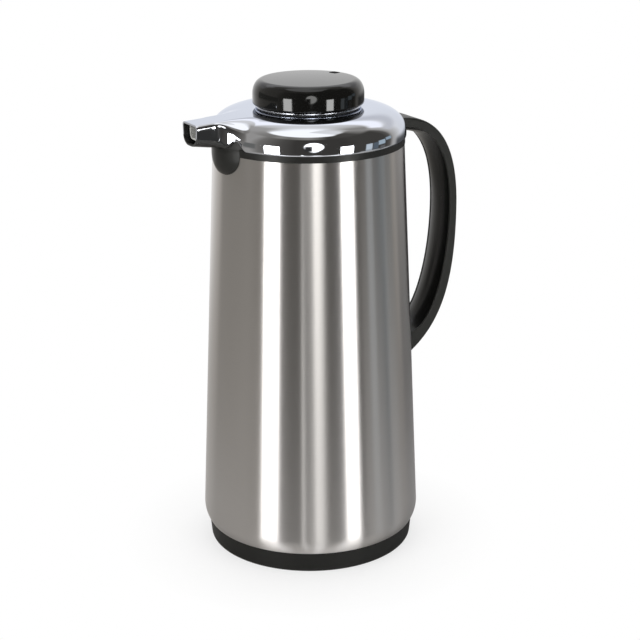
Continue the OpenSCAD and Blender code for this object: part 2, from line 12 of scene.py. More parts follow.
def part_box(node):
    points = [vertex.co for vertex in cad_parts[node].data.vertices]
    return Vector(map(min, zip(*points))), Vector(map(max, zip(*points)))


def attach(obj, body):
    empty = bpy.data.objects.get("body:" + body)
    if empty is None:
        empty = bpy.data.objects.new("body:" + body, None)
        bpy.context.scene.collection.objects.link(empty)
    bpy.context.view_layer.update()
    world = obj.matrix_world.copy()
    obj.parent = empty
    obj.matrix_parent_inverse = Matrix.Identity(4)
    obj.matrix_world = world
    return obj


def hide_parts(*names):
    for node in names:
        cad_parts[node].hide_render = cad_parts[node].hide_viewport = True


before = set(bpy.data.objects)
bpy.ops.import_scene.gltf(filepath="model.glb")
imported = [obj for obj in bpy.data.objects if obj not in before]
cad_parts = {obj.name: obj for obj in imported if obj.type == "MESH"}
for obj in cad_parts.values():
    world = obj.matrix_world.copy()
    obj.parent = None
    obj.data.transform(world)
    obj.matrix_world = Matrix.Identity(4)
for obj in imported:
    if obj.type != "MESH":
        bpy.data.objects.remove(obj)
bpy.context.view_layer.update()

bl_info = {
    "name": "Vacuum jug",
    "version": (1, 0, 0),
    "blender": (4, 5, 0),
    "location": "View3D > Sidebar > Jug",
    "description": "Finished surfaces of a vacuum jug round its frame",
    "category": "Mesh",
}

MM = 0.001


def mm(*sizes):
    """Lengths in metres, of sizes in millimetres."""
    return [size * MM for size in sizes]


(_, _, Z_HEM), (BODY_R, _, Z_COLLAR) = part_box("steel_jacket")
(SPOUT_X, _, _), (_, _, Z_DECK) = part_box("shoulder")
(_, _, Z_KNOB), (KNOB_R, _, Z_TOP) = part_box("knob_cap")
(_, _, HANDLE_FOOT), (HANDLE_X, HANDLE_Y, HANDLE_TOP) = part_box("handle_band")
SPOUT_TIP, HANDLE_W = -SPOUT_X, 2 * HANDLE_Y


# Sizes and colours that a user would change


def length(label, about, millimetres):
    """A length given in millimetres, shown in the scene's units."""
    return FloatProperty(name=label, description=about, default=millimetres * MM, min=0.0, subtype="DISTANCE",
                         unit="LENGTH")


def colour(label, about, value):
    """A colour, as the finish shows it in plain light."""
    return FloatVectorProperty(name=label, description=about, default=value, min=0, max=1, subtype="COLOR")


class JugBodySizes(bpy.types.PropertyGroup):
    top_r: length("Top radius", "Radius of the jacket at its top edge", 61.6)
    sheet: length("Sheet", "Thickness of the steel sheet", 0.6)
    hem_h: length("Hem height", "Height of the jacket's turned-in lower edge", 9.9)
    hem_in: length("Hem depth", "How far the jacket's lower edge turns in", 2.9)
    base_lean: length("Base lean", "How far the base's side leans in", 1.4)
    foot_round: length("Foot rounding", "Rounding of the foot's outer edge", 2.6)
    collar_h: length("Collar height", "Height of the black collar", 5.1)
    chin_r: length("Tongue radius", "Radius of the tongue under the spout", 27)
    chin_axis: length("Tongue axis", "Distance of the tongue's axis from the jug's", 39.3)
    chin_h: length("Tongue height", "Height of the tongue below the collar", 15.6)
    turns: IntProperty(name="Segments", description="Segments round the body", default=256, min=32, max=512)


class JugShoulderSizes(bpy.types.PropertyGroup):
    deck_r: length("Deck radius", "Radius of the flat deck", 38)
    dome_r: length("Dome radius", "Radius of the dome above its rim", 61.5)
    hole_r: length("Hole radius", "Radius of the hole for the neck insert", 31)
    wall: length("Wall", "Wall of the chromed shell", 1.2)
    spout_w: length("Spout width", "Width of the spout at its mouth", 18)
    spout_h: length("Spout height", "Height of the spout at its mouth", 11.6)
    spout_lean: length("Spout lean", "How far each side of the spout leans in", 0.4)
    spout_fall: length("Spout fall", "Fall of the spout's underside to its root", 2)
    arch: length("Arch", "Rise of the lower edge beside the spout's root", 5.4)
    spout_drop: length("Spout drop", "Height of the deck above the top of the mouth", 2.2)
    top_round: length("Upper rounding", "Rounding of the spout's upper edges", 1.5)
    low_round: length("Lower rounding", "Rounding of the spout's lower edges", 5.5)
    low_wide: length("Lower widening", "How much wider than high the lower rounding is", 1)


class JugHandleSizes(bpy.types.PropertyGroup):
    band_t: length("Band", "Thickness of the band at mid-grip", 6)
    strip_t: length("Strip", "Thickness of the strip behind the handle", 3.2)
    lip: length("Lip", "Width of the band's lips beside the pad", 1.2)
    pad_t: length("Pad", "Depth of the grip's inner pad", 2)
    crown: length("Crown", "Rise of the pad's middle over its edges", 2)
    edge: length("Edge", "Rounding of the band's outer edges", 1.4)


class JugKnobSizes(bpy.types.PropertyGroup):
    wall: length("Wall", "Wall of the knob", 2.2)
    round_w: length("Rounding width", "Width of the rounded upper corner", 7)
    round_h: length("Rounding height", "Height of the rounded upper corner", 10)
    crown: length("Crown", "Rise of the top over its rounded corner", 0.5)
    bead: length("Bead", "Height of the bright bead on the trim ring", 1.3)
    mark: length("Mark", "Side of the index mark", 5)
    mark_r: length("Mark radius", "Distance of the mark's middle from the axis", 26)
    mark_turn: FloatProperty(
        name="Mark turn", description="Turn of the mark from the handle", default=math.radians(20),
        subtype="ANGLE", unit="ROTATION")


class JugColours(bpy.types.PropertyGroup):
    steel: colour("Steel", "Brushed steel of the jacket", (0.605, 0.584, 0.571))
    chrome: colour("Chrome", "Chromed shoulder and trim ring", (0.68, 0.70, 0.75))
    knob: colour("Knob", "Glossy black knob", (0.005, 0.005, 0.0045))
    collar: colour("Collar", "Black collar and tongue", (0.013, 0.013, 0.0118))
    base: colour("Base", "Black base", (0.006, 0.006, 0.005))
    handle: colour("Handle", "Black handle", (0.017, 0.017, 0.015))
    pad: colour("Pad", "Inner layer of the grip", (0.006, 0.006, 0.0055))


# Grids and meshes


def surface(name, grid, wrap=(False, False), flip=False, uv=None):
    """Mesh over grid[i, j], a point for each pair of parameters. A wrapped direction joins its last points to
    its first. uv gives the two parameters' own values."""
    rows, cols = grid.shape[:2]
    i = np.arange(rows - 1 + wrap[0])
    j = np.arange(cols - 1 + wrap[1])
    a, b = np.meshgrid(i, j, indexing="ij")
    corners = np.stack([np.stack([a, b], -1), np.stack([a + 1, b], -1),
                        np.stack([a + 1, b + 1], -1), np.stack([a, b + 1], -1)], 2).reshape(-1, 4, 2)
    if flip:
        corners = corners[:, ::-1]
    index = (corners[..., 0] % rows) * cols + corners[..., 1] % cols
    mesh = bpy.data.meshes.new(name)
    mesh.vertices.add(rows * cols)
    mesh.vertices.foreach_set("co", grid.reshape(-1).astype(np.float32))
    mesh.loops.add(index.size)
    mesh.loops.foreach_set("vertex_index", index.reshape(-1).astype(np.int32))
    mesh.polygons.add(len(index))
    mesh.polygons.foreach_set("loop_start", np.arange(0, index.size, 4, dtype=np.int32))
    if uv is not None:
        layer = mesh.uv_layers.new(name="around")
        values = np.stack([uv[0][corners[..., 0]], uv[1][corners[..., 1]]], -1)
        layer.data.foreach_set("uv", values.reshape(-1).astype(np.float32))
    mesh.update(calc_edges=True)
    return mesh


@contextmanager
def edited(mesh):
    """Opens a mesh for editing and writes the result back."""
    bm = bmesh.new()
    bm.from_mesh(mesh)
    yield bm
    bm.to_mesh(mesh)
    bm.free()


def close_up(mesh, recalculate=True):
    """Merges the doubled points of seams and poles, then turns every face outwards."""
    with edited(mesh) as bm:
        bmesh.ops.remove_doubles(bm, verts=bm.verts, dist=1e-6)
        bmesh.ops.dissolve_degenerate(bm, edges=bm.edges, dist=1e-7)
        if recalculate:
            bmesh.ops.recalc_face_normals(bm, faces=bm.faces)
    return mesh


def joined(name, *meshes):
    """One mesh of several."""
    whole = bpy.data.meshes.new(name)
    with edited(whole) as bm:
        for mesh in meshes:
            bm.from_mesh(mesh)
    return whole


def tube(name, grid):
    """Closed mesh over sections stacked in grid, each end closed with a fan of faces to its middle."""
    mesh = surface(name, grid, (False, True))
    with edited(mesh) as bm:
        open_edges = [e for e in bm.edges if e.is_boundary]
        filled = bmesh.ops.holes_fill(bm, edges=open_edges)["faces"]
        bmesh.ops.poke(bm, faces=filled)
    return close_up(mesh)


def face_vectors(mesh, key):
    """The normal or the center of each face, as an array."""
    values = np.zeros(len(mesh.polygons) * 3, np.float32)
    mesh.polygons.foreach_get(key, values)
    return values.reshape(-1, 3)


def circle(a, r=1.0):
    """Points at the angles a, at the distance r from the middle."""
    return np.stack([r * np.cos(a), r * np.sin(a)], -1)


def rounded(corners, steps=6, guard=0.4 * MM, closed=True):
    """Profile through corners (radius, height, rounding). Each rounding is a circular arc tangent to its two
    sides, of which it takes up to 45 %, and a guard point beyond each of its ends keeps the shading of the
    flat side clean. Corners that turn by less than 4 degrees stay as they are."""
    pts = np.array([c[:2] for c in corners], float)
    out = []
    for k, (x, z, r) in enumerate(corners):
        here = np.array([x, z])
        if not closed and k in (0, len(corners) - 1):
            out.append(here[None])
            continue
        before, after = pts[k - 1] - here, pts[(k + 1) % len(corners)] - here
        lb, la = np.linalg.norm(before), np.linalg.norm(after)
        before, after = before / lb, after / la
        half = math.acos(max(-1.0, min(1.0, float(before @ after)))) / 2
        if r <= 0 or half > math.radians(88):
            out.append(here[None])
            continue
        run = min(r / math.tan(half), 0.45 * lb, 0.45 * la)
        r = run * math.tan(half)
        middle = here + (before + after) / np.linalg.norm(before + after) * r / math.sin(half)
        a0 = math.atan2(*(here + before * run - middle)[::-1])
        a1 = math.atan2(*(here + after * run - middle)[::-1])
        turn = (a1 - a0 + math.pi) % (2 * math.pi) - math.pi
        arc = middle + circle(a0 + turn * np.linspace(0, 1, steps + 1), r)
        out.append(np.vstack([here + before * min(run + guard, 0.5 * lb), arc,
                              here + after * min(run + guard, 0.5 * la)]))
    return np.vstack(out)


def quarter(n):
    """Angles of n points on a quarter of a turn."""
    return np.linspace(0, np.pi / 2, n)


def corner(x, z, w, h, power, n):
    """Points on a quarter of a rounded box corner, from its side up to its top. A power of 2 is an ellipse."""
    a = quarter(n)
    return np.stack([x + w * np.cos(a) ** (2 / power), z + h * np.sin(a) ** (2 / power)], -1)


def revolved(name, profile, turns, closed=True):
    """Profile of radius and height carried round the upright axis. Its UV map runs in metres, round the widest
    radius and along the profile."""
    a = np.linspace(0, 2 * np.pi, turns, endpoint=False)[:, None]
    r, z = profile.T
    grid = np.dstack([circle(a, r), np.broadcast_to(z, (turns, len(z)))])
    steps = np.linalg.norm(np.diff(np.vstack([profile, profile[:1]]), axis=0), axis=1)
    along = np.concatenate([[0], np.cumsum(steps)])
    around = np.linspace(0, 2 * np.pi * r.max(), turns + 1)
    return close_up(surface(name, grid, (True, closed), uv=(around, along)))


def bezier(p, t):
    """Points on the cubic curve with the four control points p, at the parameters t."""
    s = 1 - t
    return np.stack([s ** 3, 3 * s * s * t, 3 * s * t * t, t ** 3], -1) @ np.asarray(p, float)


def ease(x, low=0.0, high=1.0):
    """Rises smoothly from 0 at low to 1 at high."""
    t = np.clip((np.asarray(x, float) - low) / (high - low), 0, 1)
    return t * t * (3 - 2 * t)


# Finishes


def wire(node, inputs):
    """Sets inputs of a node by name or number, each to a value or to another node's output."""
    for key, value in inputs.items():
        if isinstance(value, bpy.types.NodeSocket):
            node.id_data.links.new(value, node.inputs[key])
        else:
            node.inputs[key].default_value = value
    return node


def add_node(tree, kind, inputs=None, **settings):
    """A new shader node with its settings and inputs."""
    node = tree.nodes.new("ShaderNode" + kind)
    adjust(node, **settings)
    return wire(node, inputs or {})


def material(name):
    """A new material with its node tree and its Principled shader."""
    mat = bpy.data.materials.new(name)
    mat.use_nodes = True
    return mat, mat.node_tree, mat.node_tree.nodes["Principled BSDF"]


def place(tree):
    """The object's own coordinates."""
    return add_node(tree, "TexCoord").outputs["Object"]


def noise(tree, vector, scale, detail, rough=0.5):
    """A noise texture on a vector."""
    inputs = {"Vector": vector, "Scale": scale, "Detail": detail, "Roughness": rough}
    return add_node(tree, "TexNoise", inputs).outputs["Fac"]


def remap(tree, value, low, high, start=0.3, end=0.7):
    """A value carried from the range start to end over to the range low to high."""
    inputs = {"Value": value, "From Min": start, "From Max": end, "To Min": low, "To Max": high}
    return add_node(tree, "MapRange", inputs).outputs["Result"]


def shades(tree, value, base, dark, light=1.0):
    """The base colour, from dark times itself to light times itself as value goes from 0 to 1."""
    ends = [(*(min(1, c * share) for c in base), 1) for share in (dark, light)]
    return add_node(tree, "Mix", {0: value, 6: ends[0], 7: ends[1]}, data_type="RGBA").outputs[2]


def bumped(tree, height, strength, distance):
    """The normal of a surface with a bump of the given height."""
    inputs = {"Strength": strength, "Distance": distance, "Height": height}
    return add_node(tree, "Bump", inputs).outputs["Normal"]


def calculated(tree, operation, a, b):
    """The result of an operation on two values."""
    return add_node(tree, "Math", {0: a, 1: b}, operation=operation).outputs[0]


def blended(tree, share, first, second):
    """The first shader with its share of the second."""
    return add_node(tree, "MixShader", {0: share, 1: first.outputs[0], 2: second.outputs[0]})


def moulded(name, base, rough, grain=0.3, grain_size=0.35 * MM, spread=0.08, shine=0.5):
    """Moulded plastic or rubber: a fine grain in its bump, faint flow marks in its colour and uneven gloss."""
    mat, tree, bsdf = material(name)
    where = place(tree)
    fine = noise(tree, where, scale=1 / grain_size, detail=2.0)
    broad = noise(tree, where, scale=45.0, detail=4.0, rough=0.6)
    wire(bsdf, {"Base Color": shades(tree, broad, base, 0.88, 1.12),
                "Roughness": remap(tree, broad, rough - spread, rough + spread),
                "Normal": bumped(tree, fine, grain, 0.02 * MM), "Specular IOR Level": shine})
    return mat


def plated(name, base, rough, wave=0.12, edge=(1, 1, 1)):
    """Polished metal plating: a mirror with a faint long wave of the moulding under it and a few fine wipes.
    edge tints what it reflects at a low angle."""
    mat, tree, bsdf = material(name)
    where = place(tree)
    long_wave = noise(tree, where, scale=38.0, detail=1.0)
    wipes = noise(tree, where, scale=260.0, detail=5.0, rough=0.7)
    wire(bsdf, {"Base Color": shades(tree, wipes, base, 0.97), "Metallic": 1.0, "Specular Tint": (*edge, 1),
                "Roughness": remap(tree, wipes, rough * 0.6, rough * 1.7),
                "Normal": bumped(tree, long_wave, wave, 0.25 * MM)})
    return mat


def brushed(name, base, rough):
    """Steel brushed round the body: fine lines along the first UV direction, which stretch each reflection
    upright, with a slow change of shade from line to line."""
    mat, tree, bsdf = material(name)
    uv = add_node(tree, "UVMap", uv_map="around").outputs["UV"]
    lines = add_node(tree, "Mapping", {"Vector": uv, "Scale": (0.012, 1.0, 1.0)}).outputs["Vector"]
    fine = noise(tree, lines, scale=4200.0, detail=3.0, rough=0.6)
    tangent = add_node(tree, "Tangent", direction_type="UV_MAP", uv_map="around").outputs["Tangent"]
    wire(bsdf, {"Base Color": shades(tree, fine, base, 0.95, 1.05), "Metallic": 1.0, "Roughness": rough,
                "Anisotropic": 1.0, "Anisotropic Rotation": 0.25, "Tangent": tangent,
                "Normal": bumped(tree, fine, 0.03, 0.01 * MM)})
    return mat


def placed(name, data):
    """A new object in the scene."""
    obj = bpy.data.objects.new(name, data)
    bpy.context.scene.collection.objects.link(obj)
    return obj


def adjust(thing, **settings):
    """Sets attributes of an object, a modifier or a lamp."""
    for key, value in settings.items():
        setattr(thing, key, value)


def paint(mesh, *finishes):
    """Gives a mesh its finishes in place of those that it has."""
    mesh.materials.clear()
    for finish in finishes:
        mesh.materials.append(finish)


def add_piece(mesh, body, finish, slot, *nodes, sharp=35.0):
    """Adds a finished mesh as a piece on a body, in place of the given nodes."""
    obj = placed(mesh.name, mesh)
    paint(mesh, finish)
    mesh.polygons.foreach_set("use_smooth", np.ones(len(mesh.polygons), bool))
    mesh.set_sharp_from_angle(angle=math.radians(sharp))
    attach(obj, body)
    if nodes:
        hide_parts(*nodes)
    return obj


# Outlines that several pieces share


def jacket_r(z):
    """Radius of the jacket's outer face at a height on its tapered wall."""
    b = bpy.context.scene.jug_body
    return BODY_R - (BODY_R - b.top_r) * (z - Z_HEM - b.hem_h) / (Z_COLLAR - Z_HEM - b.hem_h)


def z_rim():
    """Height of the shoulder's rim."""
    return Z_COLLAR + bpy.context.scene.jug_body.collar_h


# Points of the shoulder's plan along the spout's side, the flare and the dome
N_SIDE, N_FLARE, N_DOME = 7, 61, 121


def shoulder_outline(s):
    """Half of the shoulder's plan, from the mouth to the back: the spout's straight side, a flared curve
    and the dome's circle. Gives each point, its inward normal and its share of the way from spout to dome."""
    side_l, mouth_rim, flare_out, flare_swell, flare_back = mm(12, 0.2, 7, 0.4, 8.5)
    w = s.spout_w / 2
    meet = math.radians(24)
    touch = circle(meet, s.dome_r)
    along = np.array([math.sin(meet), -math.cos(meet)])
    start = np.array([SPOUT_TIP - side_l, w])
    flare = [start, start - [flare_out, -flare_swell], touch + along * flare_back, touch]
    t = np.linspace(0, 1, N_FLARE)
    side = np.stack([np.linspace(SPOUT_TIP - mouth_rim, start[0], N_SIDE), np.full(N_SIDE, w)], -1)
    angle = np.linspace(meet, np.pi, N_DOME)
    pts = np.vstack([side[:-1], bezier(flare, t), circle(angle, s.dome_r)[1:]])
    step = np.gradient(pts, axis=0)
    step[:N_SIDE] = [-1, 0]
    step[-N_DOME:] = np.stack([-np.sin(angle), np.cos(angle)], -1)
    normal = np.stack([-step[:, 1], step[:, 0]], -1) / np.linalg.norm(step, axis=1)[:, None]
    share = np.concatenate([np.zeros(N_SIDE - 1), t, np.ones(N_DOME - 1)])
    return pts, normal, share


def spout_low(s):
    """Height of the spout's underside at its mouth."""
    return Z_DECK - s.spout_drop - s.spout_h


def lower_edge(s, x, share, rim):
    """Height of the lower edge: the spout's underside, which falls from the mouth, an arch beside the
    spout's root and the dome's rim."""
    fall_l = 13 * MM
    spout = spout_low(s) - s.spout_fall * np.clip((SPOUT_TIP - x) / fall_l, 0, 1)
    arch = s.arch * ease(share, 0.32, 0.66) * (1 - ease(share, 0.7, 0.94))
    return spout + (rim - spout) * ease(share, 0.3, 0.95) + arch


# Pieces


class JUG_OT_jacket(bpy.types.Operator):
    """Tapered steel jacket with its turned-in lower edge"""
    bl_idname = "jug.jacket"
    bl_label = "Steel jacket"

    def execute(self, context):
        b = context.scene.jug_body
        hem_r = (b.hem_h ** 2 + b.hem_in ** 2) / (2 * b.hem_in)
        centre = np.array([BODY_R - hem_r, Z_HEM + b.hem_h])
        a = np.linspace(-math.asin(b.hem_h / hem_r), 0, 15)
        z = np.linspace(centre[1], Z_COLLAR, 40)[1:]
        wall = np.stack([jacket_r(z), z], -1)
        outer = np.vstack([centre + circle(a, hem_r), wall])
        inner = np.vstack([centre + circle(a, hem_r - b.sheet), wall - [b.sheet, 0]])
        mesh = revolved("jacket_shell", np.vstack([outer, inner[::-1]]), b.turns)
        finish = brushed("jacket_steel", context.scene.jug_colours.steel, 0.28)
        add_piece(mesh, "jug", finish, "jacket_steel", "steel_jacket")
        return {"FINISHED"}


class JUG_OT_base(bpy.types.Operator):
    """Screw-on base with its foot, thread collar, cushion cup and finger pockets"""
    bl_idname = "jug.base"
    bl_label = "Base"

    def execute(self, context):
        b = context.scene.jug_body
        side_r = BODY_R - b.hem_in - 0.3 * MM
        foot_r = side_r - b.base_lean
        thread_r, thread_top = side_r - 4 * MM, Z_HEM + 15 * MM
        wall, floor_t = mm(2.4, 2.6)
        cup_r, cup_t, cup_h = mm(34, 2.2, 12)
        inside = rounded([
            (foot_r, 0, b.foot_round), (side_r, Z_HEM, 0.4 * MM), (thread_r, Z_HEM, 0.2 * MM),
            (thread_r, thread_top, 0.4 * MM), (thread_r - wall, thread_top, 0.4 * MM),
            (thread_r - wall, floor_t, 1.5 * MM), (cup_r + cup_t, floor_t, 0.8 * MM),
            (cup_r + cup_t, floor_t + cup_h, 0.5 * MM), (cup_r, floor_t + cup_h, 0.5 * MM),
            (cup_r, floor_t, 0.8 * MM), (0, floor_t, 0)], closed=False)
        start = rounded([(0, 0, 0), (foot_r, 0, b.foot_round), (side_r, Z_HEM, 0)], closed=False)
        under = np.stack([np.linspace(0, start[1, 0], 60), np.zeros(60)], -1)
        mesh = revolved("base_shell", np.vstack([under, start[2:-1], inside[1:]]), 384, closed=False)
        self.press_pockets(mesh)
        finish = moulded("base_black", context.scene.jug_colours.base, 0.5, grain=0.5, shine=0.25)
        add_piece(mesh, "jug", finish, "base_black", "base_cap")
        return {"FINISHED"}

    def press_pockets(self, mesh):
        """Presses two round finger pockets into the flat underside."""
        away, r, slope, depth = mm(48, 14, 1.6, 1.2)
        co = np.zeros(len(mesh.vertices) * 3, np.float32)
        mesh.vertices.foreach_get("co", co)
        co = co.reshape(-1, 3)
        for side in (-1, 1):
            pocket = 1 - ease(np.hypot(co[:, 0], co[:, 1] - side * away), r, r + slope)
            co[:, 2] += np.where(co[:, 2] < 0.5 * MM, depth * pocket, 0)
        mesh.vertices.foreach_set("co", co.reshape(-1))
        mesh.update()


class JUG_OT_collar(bpy.types.Operator):
    """Black collar with the round tongue under the spout"""
    bl_idname = "jug.collar"
    bl_label = "Collar"

    def execute(self, context):
        b = context.scene.jug_body
        r_out, r_in = b.top_r + 0.3 * MM, b.top_r - 3.2 * MM
        skirt_r, skirt_z = b.top_r - b.sheet - 0.2 * MM, Z_COLLAR - 8 * MM
        ring = revolved("ring", rounded([
            (r_out, Z_COLLAR, 0.25 * MM), (r_out, z_rim(), 0.25 * MM), (r_in, z_rim(), 0.2 * MM),
            (r_in, skirt_z, 0.4 * MM), (skirt_r, skirt_z, 0.4 * MM), (skirt_r, Z_COLLAR, 0.1 * MM)]), b.turns)
        near, far = (self.flank(context.scene.jug_shoulder, b, side) for side in (-1, 1))
        mesh = joined("collar_ring_shell", ring, self.tongue(b), near, far)
        finish = moulded("collar_black", context.scene.jug_colours.collar, 0.35, grain=0.12, shine=0.25)
        add_piece(mesh, "jug", finish, "collar_black", "collar_ring")
        return {"FINISHED"}

    def flank(self, s, b, side):
        """Cove beside the tongue: its upper edge lies inside the arch of the shoulder's lower edge, and it
        curves in and down to the tongue's side."""
        inset, overlap, sunk, knee_drop, thick = mm(0.7, 0.5, 0.3, 0.8, 3)
        pts, normal, share = shoulder_outline(s)
        keep = (share > 0.2) & (share < 0.97)
        pts, normal, share = pts[keep], normal[keep], share[keep]
        z = (lower_edge(s, pts[:, 0], share, z_rim()) + overlap)[:, None]
        edge = pts + normal * inset
        axis = b.chin_axis
        way = circle(np.arctan2(edge[:, 1], edge[:, 0] - axis))
        foot = [axis, 0] + (b.chin_r - sunk) * way
        low = np.full_like(z, Z_COLLAR + 1 * MM)
        top, knee, base = np.hstack([edge, z]), np.hstack([foot, z - knee_drop]), np.hstack([foot, low])
        t = np.linspace(0, 1, 12)[:, None]
        cove = top[:, None] * (1 - t) ** 2 + knee[:, None] * 2 * t * (1 - t) + base[:, None] * t ** 2
        inward = np.hstack([way * thick, np.zeros_like(z)])
        grid = np.concatenate([(top - inward)[:, None], cove, (base - inward)[:, None]], 1)
        return tube("flank", grid * [-1, side, 1])

    def tongue(self, b):
        """Crescents stacked upwards: the front of each is an arc about the tongue's own axis, whose radius
        follows an egg's end, and its back is an arc that lies on the jacket, or just inside the collar."""
        axis, tip_share, setback = b.chin_axis, 0.7, 1.6 * MM
        tip, top = Z_COLLAR - b.chin_h, Z_DECK - 14.5 * MM
        a = quarter(33)
        egg = b.chin_r * (tip_share + (1 - tip_share) * np.sin(a))
        r = np.concatenate([egg, [b.chin_r] * 3, [b.chin_r - setback]])
        z = np.concatenate([tip + (b.chin_h - 1 * MM) * (1 - np.cos(a)),
                            [Z_COLLAR - 0.2 * MM, Z_COLLAR + 1 * MM, z_rim() - 1 * MM], [top]])
        back = np.where(z < Z_COLLAR, jacket_r(z) + 0.2 * MM, b.top_r - 0.5 * MM)
        reach = axis + r > back + 0.1 * MM
        r, z, back = r[reach, None], z[reach], back[reach, None]
        turn = np.arccos(np.clip((back ** 2 - axis ** 2 - r ** 2) / (2 * axis * r), -1, 1))
        s = np.linspace(-1, 1, 49)
        front = [axis, 0] + circle(s * turn, r)
        side = np.arctan2(front[:, -1, 1], front[:, -1, 0])[:, None]
        plan = np.concatenate([front, circle(-s[1:-1] * side, back)], 1)
        grid = np.dstack([plan * [-1, 1], np.broadcast_to(z[:, None], plan.shape[:2])])
        return tube("tongue", grid)


class JUG_OT_shoulder(bpy.types.Operator):
    """Chromed shoulder that runs into its spout"""
    bl_idname = "jug.shoulder"
    bl_label = "Shoulder and spout"

    def execute(self, context):
        s = context.scene.jug_shoulder
        half = self.half_skin(s)
        mesh = joined("shoulder_shell", surface("near", half), surface("far", half * [1, -1, 1], flip=True))
        close_up(mesh, recalculate=False)
        inside = moulded("shoulder_inside_and_painted_shade", (0.012, 0.012, 0.011), 0.35)
        chrome = plated("shoulder_chrome", context.scene.jug_colours.chrome, 0.035, edge=(0.86, 0.89, 0.96))
        obj = add_piece(mesh, "jug", inside, "shoulder_chrome", "shoulder", sharp=60.0)
        paint(mesh, inside, chrome, inside)
        # Painted shade: the sloped faces low under the spout are marked to take the dark inside finish instead
        # of chrome.
        middle = face_vectors(mesh, "center")
        sloped = np.abs(face_vectors(mesh, "normal")[:, 2]) > 0.2
        under = sloped & (middle[:, 2] < spout_low(s) + 4.5 * MM) & (middle[:, 0] < -s.dome_r)
        mesh.polygons.foreach_set("material_index", 2 * under.astype(np.int32))
        # The wall is dark inside. Its outer skin takes the next finish: chrome, or, on the faces under the
        # spout, the dark inside finish as painted shade in place of chrome.
        adjust(obj.modifiers.new("wall", "SOLIDIFY"), thickness=s.wall, offset=-1.0, material_offset=1,
               material_offset_rim=1)
        add_piece(self.liner(s), "jug", bpy.data.materials["inner_plastic"], "inner_plastic", sharp=40.0)
        adjust(obj.modifiers.new("rims", "BEVEL"), width=0.25 * MM, segments=2, limit_method="ANGLE",
               angle_limit=math.radians(65))
        return {"FINISHED"}

    def liner(self, s):
        """End of the pour channel: a short sleeve inside the spout, a little back from its mouth."""
        gap, wall, drop = mm(1.9, 1.1, 1.8)
        front, back = SPOUT_TIP - 3.6 * MM, SPOUT_TIP - 9.6 * MM
        high = Z_DECK - s.spout_drop - drop
        rows = []
        for inset, ends in ((gap, (front, back)), (gap + wall, (back, front))):
            w, r, low = s.spout_w / 2 - inset, s.low_round - inset, spout_low(s) + inset
            section = rounded([(-w, low, r), (w, low, r), (w, high, 0.5 * MM), (-w, high, 0.5 * MM)])
            rows += [np.insert(section, 0, -x, axis=1) for x in ends]
        return close_up(surface("pour_channel_end", np.array(rows), (True, True)))

    def half_skin(self, s):
        """Grid of the outer skin on one side. Each row leaves the hole or the spout's ridge, crosses the deck,
        rounds over as a quarter of a superellipse, drops to the lower edge and turns in under it. The rounding
        widens from the spout's small edge to the dome's broad one over the flare."""
        rim_wall, rim_round, lip_w, ridge_end = mm(1.3, 0.3, 2.6, 63)
        pts, normal, share = shoulder_outline(s)
        grow = ease(share, 0.12, 1.0)[:, None]
        rim = z_rim()
        width = s.top_round + (s.dome_r - s.deck_r - s.top_round) * grow
        power = 2 / (2.0 + 0.4 * grow)
        inner = pts + normal * width
        n_line = int((share < 1).sum())
        angle = np.concatenate([np.zeros(n_line), np.linspace(0, np.pi, len(pts) - n_line)])
        ridge = np.linspace(pts[N_SIDE - 1, 0], s.hole_r, n_line - N_SIDE + 1)
        start = circle(angle, s.hole_r)
        start[:n_line, 0] = np.concatenate([pts[:N_SIDE, 0], ridge[1:]])
        t = np.linspace(0, 1, 15)[:, None]
        deck = start[:, None] * (1 - t) + inner[:, None] * t
        deck_z = self.top(s, np.linalg.norm(deck, axis=-1))
        edge_z = deck_z[:, -1:]
        drop = s.top_round + (Z_DECK - rim - rim_wall - s.top_round) * grow
        a = quarter(25)[-2::-1]
        bend = inner[:, None] + (pts - inner)[:, None] * (np.cos(a) ** power)[..., None]
        bend_z = edge_z - drop + drop * np.sin(a) ** power
        under = lower_edge(s, pts[:, 0], share, rim)
        fade = ease(share, 0.05, 0.5)
        low = s.low_round + (rim_round - s.low_round) * fade
        down = np.linspace(0, 1, 8)[1:]
        wall_z = edge_z - drop + (under + low - edge_z[:, 0] + drop[:, 0])[:, None] * down
        lean = (normal * s.spout_lean * (1 - ease(share, 0.12, 0.35))[:, None])[:, None]
        wall = pts[:, None] + lean * down[:, None]
        b = quarter(11)[1:]
        wide = low + s.low_wide * (1 - fade)
        turn = pts[:, None] + lean + normal[:, None] * (wide[:, None] * (1 - np.cos(b)))[..., None]
        turn_z = under[:, None] + low[:, None] * (1 - np.sin(b))
        middle = np.stack([np.clip(pts[:, 0], ridge_end, None), np.zeros(len(pts))], -1)
        hidden = ease(share, 0.45, 0.95)[:, None]
        end = middle * (1 - hidden) + (pts + normal * lip_w) * hidden
        t = np.linspace(0, 1, 7)[1:, None]
        floor = turn[:, -1:] * (1 - t) + end[:, None] * t
        floor_z = np.broadcast_to(under[:, None], (len(pts), len(t)))
        plan = np.concatenate([deck, bend, wall, turn, floor], 1)
        z = np.concatenate([deck_z, bend_z, wall_z, turn_z, floor_z], 1)
        return np.dstack([-plan, z])

    def top(self, s, r):
        """Height of the deck and of the spout's ridge at a distance from the axis: level on the deck, then
        falling evenly to the mouth."""
        x = np.clip((r - s.deck_r) / (SPOUT_TIP - s.deck_r), 0, None)
        soft = 0.3
        fall = np.where(x < soft, x * x / (2 * soft), x - soft / 2) / (1 - soft / 2)
        return Z_DECK - s.spout_drop * fall


